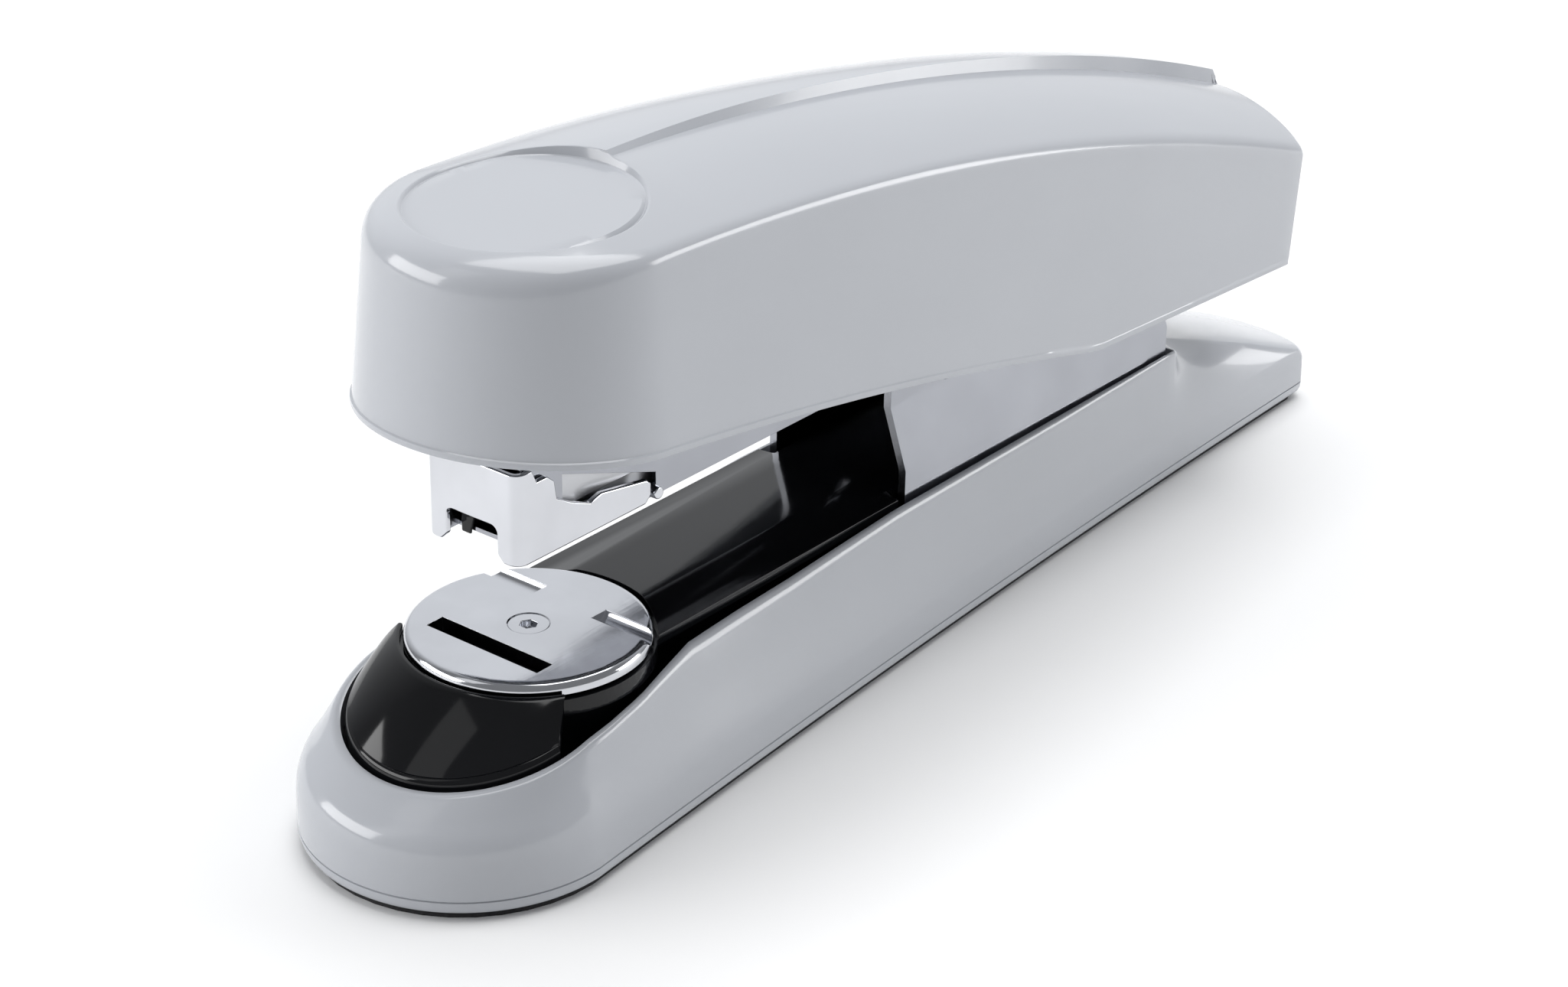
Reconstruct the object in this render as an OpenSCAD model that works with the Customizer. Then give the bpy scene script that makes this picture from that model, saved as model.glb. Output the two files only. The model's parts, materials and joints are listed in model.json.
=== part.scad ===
// Flat-clinch desk stapler.
// X runs across, Y from nose (-) to tail (+), Z up from the surface the stapler stands on.
// The origin is under the middle of the base. Each module is drawn with Y = 0 at the centre of
// the anvil disc and is moved to its place by at_disc().

/* [Base] */
// Length of the base from nose to tail
base_len = 202; // [168:1:244]
// Radius of the round nose of the base, half its width
nose_r = 21.1; // [19.5:0.1:25.4]
// Distance from the nose tip to the centre of the anvil disc
nose_to_disc = 32; // [30:0.5:36]
// Half the width of the base at its tail
tail_half = 12.3; // [11.5:0.1:16]
// How far the tail edge bulges past its corners
tail_bulge = 4.5; // [1:0.5:6]
// Height of the side of the base shell
side_h = 9; // [7:0.5:10]
// Wall of the base shell
base_wall = 2.2; // [1.6:0.1:2.6]
// Thickness of the rubber sole
sole_t = 1; // [0.8:0.1:2]
// Thickness of the steel base plate
plate_t = 2; // [1.5:0.1:2.5]

/* [Anvil] */
// Radius of the anvil disc
disc_r = 15.3; // [14:0.1:15.8]
// Thickness of the anvil disc
disc_t = 2; // [1.6:0.1:2.4]
// Height of the disc's top above the table
disc_top = 23.9; // [23:0.1:26]
// Length of the clinching slot
slot_len = 18.2; // [15:0.1:19]
// Width of the clinching slot
slot_w = 2.8; // [2.4:0.1:3.4]
// Distance from the disc's centre to its slot and its grooves
slot_off = 7; // [6:0.1:8]
// How far the arm dips to clinch, at the disc
dip = 2; // [1:0.1:2]
// Half the width of the arm's flange
arm_half = 12; // [11.2:0.1:12.2]

/* [Head] */
// Distance from the disc's centre to the hinge pin
reach = 116; // [97:1:139]
// Height of the hinge pin above the table
hinge_z = 40; // [39:0.5:44]
// Diameter of the hinge pin
pin_d = 4; // [3:0.1:5]
// Outer width of the nose plate
plate_w = 15; // [14.6:0.1:15.4]
// Sheet of the nose plate
plate_sheet = 0.8; // [0.6:0.1:1]
// Sheet of the magazine channel
mag_sheet = 0.6; // [0.5:0.1:0.7]
// Height of the magazine's underside above the table
mag_z = 37.5; // [37.5:0.1:40]
// Height of the magazine's walls
mag_h = 12; // [11:0.1:12]
// Sheet of the lower frame and the lever frame
frame_sheet = 1.2; // [0.8:0.1:1.4]
// Length of the lower frame's walls
frame_len = 64; // [58:1:66]
// Travel of the staple pusher
pusher_travel = 84; // [40:1:84]

/* [Cover] */
// Radius of the cover's nose at its lower edge, half the cover's width
cover_r = 21; // [19:0.1:25.2]
// Half the width of the cover's tail at its lower edge
cover_tail_half = 19.5; // [18:0.1:21]
// How much narrower the cover is at its top edge
cover_draft = 1.4; // [0.5:0.1:2]
// Wall of the cover
cover_wall = 2.2; // [1.6:0.1:2.6]
// Height of the cover's crown above the table
cover_top = 80.2; // [78:0.1:88]
// Height of the step along the crown line
ridge = 1.2; // [0.4:0.1:2]
// Radius of the round thumb pad
pad_r = 14; // [8:0.5:15]

/* [Hidden] */

$fn = 48;
eps = 0.01;
fit_gap = 0.3;       // between pieces that move past each other
pin_gap = 0.05;      // radial clearance of a pin in a turning bore
cut = 100;           // longer than any piece a cut goes through

light = "#c3c6cb";
black = "#15161a";
chrome = "#d9dadc";
steel = "#9a9da3";

// base
disc_y = nose_to_disc - base_len / 2;
tail_y = base_len - nose_to_disc;
nose_c = nose_r - nose_to_disc;              // centre of the base's nose
shell_z = sole_t;                            // lower edge of the shell
crease_z = sole_t + side_h;
plate_top = sole_t + plate_t;
shell_in = base_wall + 0.2;                  // the base plate clears the shell's wall
lip_z = [13.7, 17.9, 19.2, 20.4, 21.7, 21.5]; // rim of the recess: nose, side, neck, arm, frame, tail
rim_r = 16.4;                                // front rim of the collar
rim_c = -8.6;
lip_r = rim_r + 0.6;
waist = 1.3;                                 // how far the sides draw in between nose and tail
side_wall = 1.2;                             // wall of the shell along the frame
boss_r = 3;                                  // bosses that the self-tapping screws bite into
thread_r = 1.2;
screw_y = (reach + 10.5 + tail_y) / 2;       // the two screws that hold the shell's tail
screw_x = 5.5;

// anvil
disc_z = disc_top - disc_t;
disc_gap = 0.2;
arm_top = disc_z - disc_gap;
arm_wall = 2;
head_r = disc_r - 0.9;
arm_in_half = 9.9;                           // half width of the arm between the frame walls
arm_pin_y = reach - 6;
arm_pin_z = 13;
arm_pin_r = 1.5;
screw_r = 1.5;
screw_head_r = 2.6;

// frame
frame_end = reach + 9;
frame_front = frame_end - frame_len;
mag_half = plate_w / 2 - plate_sheet - 0.05;
wall_in = mag_half + 0.95;                   // inside of the frame's upper walls
wall_out = wall_in + frame_sheet;
flare_out = wall_out + 2.8;                  // outside of the flared lower walls
frame_rim = flare_out + 0.45;                // the shell's rim runs just outside them
slot_end = frame_end + 1.5;                  // the recess ends here
flare_z = [25.5, 33.8];                      // the flare runs between these heights
wall_top = [45, 50];                         // top of the walls at the front and at the hinge
web_z = plate_top;
lever_in = wall_out + fit_gap + 0.1;
lever_out = lever_in + frame_sheet;
pin_len = 2 * (lever_out + 1.6);

rivet_r = 1.5;
rivet_spots = [for (x = [-5, 5], y = [frame_front + 6, frame_end - 6]) [x, y]];
spring_y = reach + 4.6;                      // spring that lifts the head
arm_plate = 2.2;                             // top of the arm under the disc
post_r = 4;                                  // post in the arm for the disc's screw
washer_r = 4.4;

// magazine
wing_len = 14.2;                             // the nose plate's wings end here
guide_len = 8;
bridge_y = reach - 18;                       // sheet bridge over the channel, seat of the lever spring
plate_front = slot_off + 2.4;                // front of the nose plate, towards the nose
blade_t = 0.6;
blade_y = -slot_off - 0.1;                   // front face of the driver blade at rest
guide_front = -slot_off + 1.1;
mag_top = mag_z + mag_h;
plate_bend = 1.6;                            // outer radius of the nose plate's bends
mag_front = -(plate_front - plate_bend);
mag_end = reach + 8;
rail_half = mag_half - mag_sheet - 0.9;
rail_top = mag_z + mag_sheet + 6.4;
rod_r = 1;
rod_z = mag_z + mag_sheet + 2.5;
pusher_len = 14;
foot_w = 1.6;
rail_front = guide_front + guide_len + 0.1;
rail_wall = 1.2;
pusher_y = guide_front + 5;                  // front of the pusher at rest
foot_y = rail_front + 2 + fit_gap;           // front of the pusher's foot at rest
foot_len = pusher_y + pusher_len - foot_y;
foot_spare = 2;                              // room past the foot at the end of its travel
rod_end = reach - 8;

// cover
cover_c = [1, 2];                            // centre of the cover's nose, lower and upper edge
cover_tail = [reach + 29, reach + 33.3];     // tail of the cover, lower and upper edge
cover_bulge = 3.7;                           // how far the tail bulges past its corners
pad_y = 0.7;
lever_line = [70, 57.5];                     // top of the lever frame at its front and near the hinge
boss_clear = 14;                             // from the lever spring to the rear bosses
boss_ys = [28, bridge_y - boss_clear];
driver_rivet_xs = [-3.4, 3.4];
pad_z = cover_top - 1.8;

module at_disc() {
    translate([0, disc_y, 0]) children();
}

// ---------- shared shapes ----------

function lerp(a, b, t) = a + (b - a) * t;

// Triangles that join n rings of m points; a wrapped skin has no caps
function skin_faces(n, m, wrap) = concat(
    [for (i = [0:1:n - (wrap ? 1 : 2)], j = [0:m - 1])
        [i * m + j, i * m + (j + 1) % m, ((i + 1) % n) * m + (j + 1) % m]],
    [for (i = [0:1:n - (wrap ? 1 : 2)], j = [0:m - 1])
        [i * m + j, ((i + 1) % n) * m + (j + 1) % m, ((i + 1) % n) * m + j]],
    wrap ? [] : [[for (j = [m - 1:-1:0]) j], [for (j = [0:m - 1]) (n - 1) * m + j]]
);

module skin(rings, wrap = false) {
    polyhedron(
        points = [for (ring = rings, p = ring) p],
        faces = skin_faces(len(rings), len(rings[0]), wrap),
        convexity = 8
    );
}

// Half outline of a long body with a round nose: right side, from nose tip to tail centre.
// t runs 0..1 round the nose, 1..2 along the side and 2..3 across the tail.
function edge(t, r, c, xt, yt, bulge) =
    t <= 1 ? [r * sin(90 * t), c - r * cos(90 * t)]
    : t <= 2 ? [lerp(r, xt, t - 1), lerp(c, yt - bulge, t - 1)]
    : [xt * cos(90 * (t - 2)), yt - bulge + bulge * sin(90 * (t - 2))];

// The base's outline, set in by a margin: t runs 1..2 as far as the slot's end, 2..2.5 to the
// tail's corner and 2.5..3 across the tail
function base_edge(t, inset) =
    let (
        neck = (slot_end - nose_c) / (tail_y - tail_bulge - nose_c),
        s = t <= 2 ? neck * (t - 1) : lerp(neck, 1, 2 * (t - 2)),
        p = edge(t <= 1 ? t : t <= 2.5 ? s + 1 : 2 * t - 3, nose_r - inset, nose_c, tail_half - inset,
            tail_y - inset, tail_bulge)
    )
    t > 1 && t < 2.5 ? [p[0] - 4 * waist * s * (1 - s), p[1]] : p;

// Upright plate with the base's outline, set in by a margin
module base_slab(inset, h) {
    half = [for (t = [0:0.1:3]) base_edge(t, inset)];
    linear_extrude(h)
        polygon(concat(half, [for (i = [len(half) - 2:-1:1]) [-half[i][0], half[i][1]]]));
}

// Prism whose outline is given in Y and Z, centred on X = 0
module side_prism(points, width) {
    rotate([90, 0, 90]) linear_extrude(width, center = true) polygon(points);
}

// Cylinder across the body
module cross_pin(y, z, r, len) {
    translate([-len / 2, y, z]) rotate([0, 90, 0]) cylinder(h = len, r = r);
}

// Round wire spring along Z, from z = 0 to z = h
module coil(r, wire, h, turns) {
    steps = 12;
    sides = 6;
    n = turns * steps;
    skin([for (i = [0:n]) let (a = 360 * i / steps, z = lerp(wire, h - wire, i / n))
        [for (j = [0:sides - 1]) let (b = 360 * j / sides)
            [(r + wire * cos(b)) * cos(a), (r + wire * cos(b)) * sin(a), z + wire * sin(b)]]]);
}

// ---------- base ----------

// Rim of the recess in the base: front arc, neck, along the arm and the frame, and the slot's end
lip_side = [
    [lip_r, rim_c, lip_z[1]], [lip_r - 0.6, 2, lip_z[2]], [arm_half + 1.6, 14, lip_z[3]],
    [arm_half + 0.9, 34, lip_z[3]], [arm_half + 0.6, frame_front - 4, lip_z[4]],
    [frame_rim, slot_end, lip_z[5]]
];

function lip_x(y) = lookup(y, [for (p = lip_side) [p[1], p[0]]]);
function lip_height(y) = lookup(y, [for (p = lip_side) [p[1], p[2]]]);

function lip(t) =
    t <= 1 ? [lip_r * sin(90 * t), rim_c - lip_r * cos(90 * t), lerp(lip_z[0], lip_z[1], 1 - cos(90 * t))]
    : t <= 2 ? let (y = lerp(rim_c, slot_end, t - 1)) [lip_x(y), y, lip_height(y)]
    : [frame_rim * (3 - t), slot_end, lip_z[5]];

// Cross-section of the shell at one place round its outline
function shell_ring(t, side) =
    let (
        a = base_edge(t, 0),
        b = base_edge(t, 0.6),
        c = base_edge(t, t < 1 ? base_wall : lerp(base_wall, side_wall, min(t - 1, 1))),
        l = lip(t),
        p = [l[0], l[1]],
        m = lerp(b, p, 0.35),
        n = lerp(c, p, 0.35),
        k = p + min(0.9, norm(b - p) / 2) * (b - p) / norm(b - p),
        hm = lerp(crease_z, l[2], 0.55),
        ring = [
            [b[0], b[1], shell_z], [a[0], a[1], shell_z + 0.8], [a[0], a[1], crease_z - 1.2],
            [b[0], b[1], crease_z], [m[0], m[1], hm], [k[0], k[1], l[2]], [p[0], p[1], l[2] - 0.2],
            [p[0], p[1], l[2] - 2.6], [n[0], n[1], hm - 2.4], [c[0], c[1], crease_z - 2],
            [c[0], c[1], shell_z]
        ]
    )
    [for (q = ring) [side * q[0], q[1], q[2]]];

stations = concat([for (i = [0:12]) i / 12], [for (i = [1:15]) 1 + i / 15], [for (i = [1:10]) 2 + i / 10]);

module base_shell() {
    right = [for (t = stations) shell_ring(t, 1)];
    left = [for (i = [len(stations) - 2:-1:1]) shell_ring(stations[i], -1)];
    color(light) at_disc() {
        skin(concat(right, left), wrap = true);
        for (side = [-1, 1])
            translate([side * screw_x, screw_y, plate_top]) difference() {
                cylinder(h = lerp(crease_z, lip_z[5], 0.54) - plate_top, r = boss_r);
                translate([0, 0, -eps]) cylinder(h = 8, r = thread_r);
            }
    }
}

module base_plate() {
    color(steel) at_disc() difference() {
        translate([0, 0, sole_t]) base_slab(shell_in, plate_t);
        for (side = [-1, 1])
            translate([side * screw_x, screw_y, 0]) cylinder(h = cut, r = thread_r + fit_gap);
        for (spot = rivet_spots)
            translate([spot[0], spot[1], 0]) cylinder(h = cut, r = rivet_r);
    }
}

module base_sole() {
    color(black) at_disc() difference() {
        base_slab(1.2, sole_t);
        for (side = [-1, 1])
            translate([side * screw_x, screw_y, -eps]) cylinder(h = cut, r = thread_r + 1.6);
    }
}

module base_screws() {
    color(steel) at_disc() for (side = [-1, 1])
        translate([side * screw_x, screw_y, 0]) {
            translate([0, 0, 0.2]) cylinder(h = sole_t - 0.2, r = thread_r + 1.2);
            translate([0, 0, 0.2]) cylinder(h = plate_top + 7, r = thread_r);
        }
}

// Pressed channel with flared lower walls that carries the hinge pin and the arm pin
module lower_frame() {
    s = frame_sheet;
    half = [
        [flare_out, web_z], [flare_out, flare_z[0]], [wall_out, flare_z[1]], [wall_out, cut],
        [wall_in, cut], [wall_in, flare_z[1]], [flare_out - s, flare_z[0]], [flare_out - s, web_z + s]
    ];
    mirrored = [for (i = [len(half) - 1:-1:0]) [-half[i][0], half[i][1]]];
    color(chrome) at_disc() difference() {
        intersection() {
            translate([0, frame_end, 0]) rotate([90, 0, 0])
                linear_extrude(frame_len) polygon(concat(half, mirrored));
            side_prism([
                [frame_front, 0], [frame_end, 0], [frame_end, wall_top[1] - 4], [frame_end - 4, wall_top[1]],
                [reach - 10, wall_top[1]], [frame_front + 2, wall_top[0]], [frame_front, wall_top[0] - 2]
            ], cut);
        }
        cross_pin(reach, hinge_z, pin_d / 2, cut);
        cross_pin(arm_pin_y, arm_pin_z, arm_pin_r, cut);
        cross_pin(frame_front + 12.5, flare_z[1] + 1.8, 1.6, cut);
        for (spot = rivet_spots)
            translate([spot[0], spot[1], 0]) cylinder(h = web_z + s + eps, r = rivet_r);
    }
}

module frame_rivets() {
    color(steel) at_disc() for (spot = rivet_spots)
        translate([spot[0], spot[1], sole_t]) {
            cylinder(h = plate_t + frame_sheet, r = rivet_r);
            translate([0, 0, plate_t + frame_sheet]) cylinder(h = 0.8, r = rivet_r + 1);
        }
}

module hinge_pin() {
    color(steel) at_disc() cross_pin(reach, hinge_z, pin_d / 2, pin_len);
}

module hinge_clips() {
    color(steel) at_disc() for (side = [-1, 1])
        translate([side * (lever_out + 0.6), 0, 0]) difference() {
            cross_pin(reach, hinge_z, pin_d / 2 + 1.5, 0.8);
            cross_pin(reach, hinge_z, pin_d / 2, cut);
        }
}

module arm_pin() {
    color(steel) at_disc() cross_pin(arm_pin_y, arm_pin_z, arm_pin_r, 2 * flare_out);
}

// Fixed post under the clinching slot; it stops just below the disc at its lowest
module clincher() {
    top = disc_z - dip * (1 + slot_off / arm_pin_y) - disc_gap;
    half = slot_len / 2 - 1.1;
    color(steel) at_disc() translate([0, -slot_off, 0]) {
        translate([0, -1, plate_top + 1]) cube([2 * half, 4, 2], center = true);
        rotate([90, 0, 0]) linear_extrude(slot_w - 1, center = true) polygon([
            [-half, plate_top], [half, plate_top], [half, top - 1.2], [half - 2, top],
            [0.8, top - 0.8], [-0.8, top - 0.8], [2 - half, top], [-half, top - 1.2]
        ]);
    }
}

module arm_spring() {
    color(steel) at_disc() translate([0, 0, plate_top])
        coil(post_r + 1.1, 0.5, arm_top - arm_plate - plate_top, 6);
}

// Pulls the magazine's tail down, behind the hinge pin, and so lifts the nose
module head_spring() {
    color(steel) at_disc() translate([0, spring_y, web_z + frame_sheet])
        coil(2.2, 0.4, mag_z - web_z - frame_sheet, 9);
}

// ---------- anvil arm ----------

module anvil_arm() {
    low = plate_top + dip + 3.5;
    w = arm_in_half;
    deck = disc_top - 0.4;
    flange = [
        [5.5, deck], [9.6, deck - 1.1], [arm_half, deck - 1.3], [arm_half, deck - 2.7],
        [w, deck - 3.6], [w, low], [w - arm_wall, low], [w - arm_wall, deck - 4.2]
    ];
    inner = [
        [5.5, deck], [w - 0.6, deck - 1.1], [w, deck - 2],
        [w, low], [w - arm_wall, low], [w - arm_wall, deck - 4.2]
    ];
    mirrored = function (half) [for (i = [len(half) - 1:-1:0]) [-half[i][0], half[i][1]]];
    color(black) at_disc() difference() {
        union() {
            translate([0, frame_front - 2, 0]) rotate([90, 0, 0])
                linear_extrude(frame_front - 2) polygon(concat(flange, mirrored(flange)));
            translate([0, arm_pin_y + 4, 0]) rotate([90, 0, 0])
                linear_extrude(arm_pin_y + 6 - frame_front) polygon(concat(inner, mirrored(inner)));
            translate([0, 0, low]) cylinder(h = arm_top - low, r = head_r);
            translate([0, 0, arm_top - arm_plate]) cylinder(h = arm_plate, r = disc_r + 0.38);
        }
        translate([0, 0, arm_top]) cylinder(h = cut, r = disc_r + 0.5);
        difference() {
            translate([0, 0, -eps]) cylinder(h = arm_top - arm_plate, r = head_r - arm_wall);
            translate([0, 0, low + 3]) cylinder(h = cut, r = post_r);
        }
        translate([0, -slot_off, arm_top]) cube([slot_len + 0.8, slot_w + 1.6, 20], center = true);
        translate([0, 0, arm_top - 0.5]) cylinder(h = cut, r = washer_r + 0.3);
        cylinder(h = cut, r = screw_r);
        cross_pin(arm_pin_y, arm_pin_z, arm_pin_r + pin_gap, cut);
    }
}

// Flared skirt round the front of the disc; a rises from -1 to 1 round the front
function collar_ring(a) =
    let (
        d = [sin(58 * a), -cos(58 * a)],
        r = [rim_r * sin(78 * a), rim_c - rim_r * cos(78 * a)],
        z = lerp(lip_z[0], lip_z[1], 1 - cos(78 * a)),
        top = (disc_r + 0.9) * d,
        low_in = r - 1.8 * r / norm(r),
        mid = lerp(r, top, 0.45)
    )
    [
        [r[0], r[1], z - 2.4], [r[0], r[1], z + 0.9],
        [mid[0], mid[1], lerp(z + 0.9, disc_top - 1.3, 0.52)],
        [top[0], top[1], disc_top - 1.3], [top[0] - 0.5 * d[0], top[1] - 0.5 * d[1], disc_top - 1.4],
        [top[0] - 0.5 * d[0], top[1] - 0.5 * d[1], arm_top - arm_plate + 0.3],
        [low_in[0], low_in[1], z - 1.2], [low_in[0], low_in[1], z - 2.4]
    ];

module anvil_collar() {
    color(black) at_disc() skin([for (i = [-14:14]) collar_ring(i / 14)]);
}

module disc_screw() {
    color(steel) at_disc() difference() {
        union() {
            cylinder(h = disc_top - 0.1, r = screw_r);
            translate([0, 0, disc_top - 1.2]) cylinder(h = 1.1, r1 = screw_r, r2 = screw_head_r);
        }
        translate([0, 0, -eps]) cylinder(h = plate_top + dip + 8, r = cut);
        translate([0, 0, disc_top - 1.1]) cylinder(h = 2, r = 1.15, $fn = 6);
    }
}

module disc_washer() {
    color(steel) at_disc() translate([0, 0, arm_top - 0.45]) difference() {
        cylinder(h = 0.5, r = washer_r);
        translate([0, 0, -eps]) cylinder(h = 1, r = screw_r + 0.3);
    }
}

module anvil_disc() {
    edge_r = disc_t * 0.6;
    color(chrome) at_disc() difference() {
        rotate_extrude() polygon(concat(
            [[0, disc_z], [disc_r - 0.3, disc_z], [disc_r, disc_z + 0.3]],
            [for (a = [0:15:90]) [disc_r - edge_r + edge_r * cos(a), disc_top - edge_r + edge_r * sin(a)]],
            [[0, disc_top]]
        ));
        cylinder(h = cut, r = screw_r + pin_gap);
        translate([0, 0, disc_top - 1.2]) cylinder(h = 1.3, r1 = screw_r + pin_gap, r2 = screw_head_r + 0.2);
        translate([0, -slot_off, disc_z]) cube([slot_len, slot_w, 10], center = true);
        for (side = [-1, 1])
            translate([side * (disc_r + 5.7) / 2, slot_off + 0.3, disc_top + 0.3]) rotate([0, 90, 0])
                cylinder(h = disc_r - 4, r = 1.4, center = true);
    }
}

// ---------- magazine ----------

module magazine_channel() {
    half = mag_half - mag_sheet;
    floor_z = mag_z + mag_sheet;
    color(chrome) at_disc() difference() {
        union() {
            difference() {
                side_prism([[mag_front, mag_z], [mag_end, mag_z], [mag_end, mag_top], [mag_front, mag_top]],
                    2 * mag_half);
                side_prism([[-cut, floor_z], [cut * 2, floor_z], [cut * 2, cut], [-cut, cut]], 2 * half);
            }
            side_prism([[bridge_y - 6, mag_top], [bridge_y + 6, mag_top], [bridge_y + 6, mag_top + mag_sheet],
                [bridge_y - 6, mag_top + mag_sheet]], 2 * mag_half);
        }
        translate([-half, mag_front - 1, mag_z - 1]) cube([2 * half, guide_front - mag_front + 1.5, 3]);
        translate([-half, reach - 4, mag_z - 1]) cube([2 * half, 6.4, 3]);
        side_prism([[-0.8, mag_z + 9], [16, mag_z + 3.1], [16, mag_z + 1.4], [-0.8, mag_z + 4.5]], cut);
        cross_pin(reach, hinge_z, pin_d / 2 + pin_gap, cut);
    }
}

// Bent sheet round the magazine's mouth: two legs in front, a stepped wing on each side
module nose_plate() {
    h = plate_w / 2;
    top = mag_top - 0.1;
    bend = plate_bend;
    arc = function (r, cx, cy) [for (a = [0:15:90]) [cx + r * sin(a), cy - r * cos(a)]];
    outer = arc(bend, h - bend, bend - plate_front);
    inner = arc(bend - plate_sheet, h - bend, bend - plate_front);
    half = concat(outer, [[h, wing_len]], [[h - plate_sheet, wing_len]],
        [for (i = [len(inner) - 1:-1:0]) inner[i]]);
    leg = 3.4;
    color(chrome) at_disc() intersection() {
        linear_extrude(cut) polygon(concat(half, [for (i = [len(half) - 1:-1:0]) [-half[i][0], half[i][1]]]));
        side_prism([
            [-cut, mag_z], [wing_len - 1, mag_z], [wing_len, mag_z + 1], [wing_len, mag_z + 2.5],
            [wing_len - 0.8, mag_z + 3.2], [5.2, mag_z + 4.6], [3.2, mag_z + 4], [0, mag_z + 5.3],
            [-2.6, mag_z + 6.8], [-3, mag_z + 9.2], [-4.2, mag_z + 10.2], [-6, mag_z + 10.2],
            [-6.8, top], [-cut, top]
        ], cut);
        rotate([90, 0, 0]) linear_extrude(cut * 2, center = true) difference() {
            translate([-h, mag_z]) square([2 * h, cut]);
            translate([0, mag_z]) square([2 * (h - leg), 7], center = true);
            translate([0, mag_z]) square([2 * (h - leg) - 2, 9], center = true);
            for (side = [-1, 1]) {
                translate([side * (h - leg - 1), mag_z + 3.5]) circle(r = 1);
                translate([side * (h - leg), mag_z]) rotate(45) square(1.4, center = true);
            }
        }
    }
}

module staple_guide() {
    w = rail_half;
    color(black) at_disc() intersection() {
        translate([-w, guide_front, 0]) cube([2 * w, guide_len, rail_top]);
        difference() {
            translate([-w, guide_front, mag_z - 0.4]) cube([2 * w, guide_len, cut]);
            rotate([90, 0, 0]) linear_extrude(cut, center = true)
                polygon([[-3.6, 0], [3.6, 0], [3.6, mag_z],
                    [2.6, mag_z + 3], [-2.6, mag_z + 3], [-3.6, mag_z]]);
            translate([-w - 1, guide_front + 0.4, 0]) cube([2 * w + 2, cut, mag_z + mag_sheet + 0.1]);
        }
    }
}

// Hollow core that the staples straddle; the pusher's foot runs inside it on a rod
module staple_rail() {
    w = rail_half;
    low = mag_z + mag_sheet + 0.1;
    room = rod_end - rail_front - 2;
    color(steel) at_disc() difference() {
        translate([-w, rail_front, low]) cube([2 * w, rod_end + 4 - rail_front, rail_top - low]);
        translate([rail_wall - w, rail_front + 2, low - 1])
            cube([2 * (w - rail_wall), room, rail_top - rail_wall - low + 1]);
        translate([-foot_w / 2 - fit_gap, rail_front + 2, low])
            cube([foot_w + 2 * fit_gap, foot_len + pusher_travel + 2 * fit_gap + foot_spare, cut]);
        rod_bore(rod_r);
    }
}

module rod_bore(r) {
    translate([0, rod_end + 2, rod_z]) rotate([90, 0, 0]) cylinder(h = rod_end + 1 - rail_front, r = r);
}

module pusher_rod() {
    color(steel) at_disc() rod_bore(rod_r);
}

module pusher_spring() {
    front = pusher_y + pusher_len;
    color(steel) at_disc() translate([0, front, rod_z]) rotate([-90, 0, 0])
        coil(1.7, 0.3, rod_end - front, 18);
}

// Saddle over the rail with a foot that goes through the rail's slot and slides on the rod
module staple_pusher() {
    w = mag_half - mag_sheet - 0.15;
    color(steel) at_disc() difference() {
        union() {
            difference() {
                translate([-w, pusher_y, rail_top - 3]) cube([2 * w, pusher_len, 2.4 + mag_top - rail_top]);
                translate([-rail_half - 0.25, -cut, 0])
                    cube([2 * rail_half + 0.5, 3 * cut, rail_top + fit_gap]);
            }
            translate([-foot_w / 2, foot_y, rod_z]) cube([foot_w, foot_len, mag_top - 1 - rod_z]);
            translate([0, foot_y, rod_z]) rotate([-90, 0, 0]) cylinder(h = foot_len, r = rod_r + 0.9);
        }
        rod_bore(rod_r + pin_gap);
    }
}

module nose_pin() {
    color(chrome) at_disc() for (side = [-1, 1])
        translate([side * (mag_half + 0.65), 0, 0]) cross_pin(wing_len + 1, mag_z + 0.9, 0.8, 1.3);
}

// ---------- cover ----------

function crown_z(y) = cover_top - pow(y - 4, 2) / 820;
function edge_z(y) = cover_top - 3 - pow(y + 15, 2) / 928;
function hem_z(y) =
    let (kink = reach - 23, m = min(y, kink) + 20)
    cover_top - 25.2 - 0.1 * m - 0.0007 * m * m - 0.065 * max(y - kink, 0);

// Half width of the cover's top edge
function cover_half(y) =
    let (t = (y - cover_c[1]) / (cover_tail[1] - cover_c[1]))
    lerp(cover_r, cover_tail_half, min(max(t, 0), 1)) - cover_draft;

// The far half of the top stands higher, behind a step along the crown line
function ridge_z(x, y) =
    x < 0 ? ridge * min(max((y + 14) / 59, 0), 1) + 0.9 * min(max((y - 40) / 110, 0), 1) : 0;

// Height of the cover's top: a crown across the body, and a dome over the nose
function top_z(x, y) =
    let (u = (y < cover_c[1] ? norm([x, y - cover_c[1]]) : abs(x)) / cover_half(y))
    lerp(crown_z(y), edge_z(y), min(u * u, 1)) + ridge_z(x, y);

// Cross-section of the cover at one place along it, set in by a margin
function cover_ring(t, in, drop) =
    let (
        low = edge(t, cover_r - in, cover_c[0], cover_tail_half - in,
            cover_tail[0] + cover_bulge - in, cover_bulge),
        high = edge(t, cover_r - cover_draft - in, cover_c[1], cover_tail_half - cover_draft - in,
            cover_tail[1] + cover_bulge - in, cover_bulge),
        y = high[1],
        side = function (x)
            let (z = top_z(x * high[0], y) - in)
            [
                [x * low[0], low[1], hem_z(low[1]) - drop],
                [x * lerp(low[0], high[0], 0.9), lerp(low[1], y, 0.9), z - 2.2],
                [x * high[0] * 0.985, y, z - 0.7]
            ],
        left = side(-1)
    )
    concat(
        side(1),
        [for (f = [0.92, 0.69, 0.46, 0.23, 0.01, -0.01, -0.23, -0.46, -0.69, -0.92])
            [high[0] * f, y, top_z(high[0] * f, y) - in]],
        [for (i = [2:-1:0]) left[i]]
    );

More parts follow.
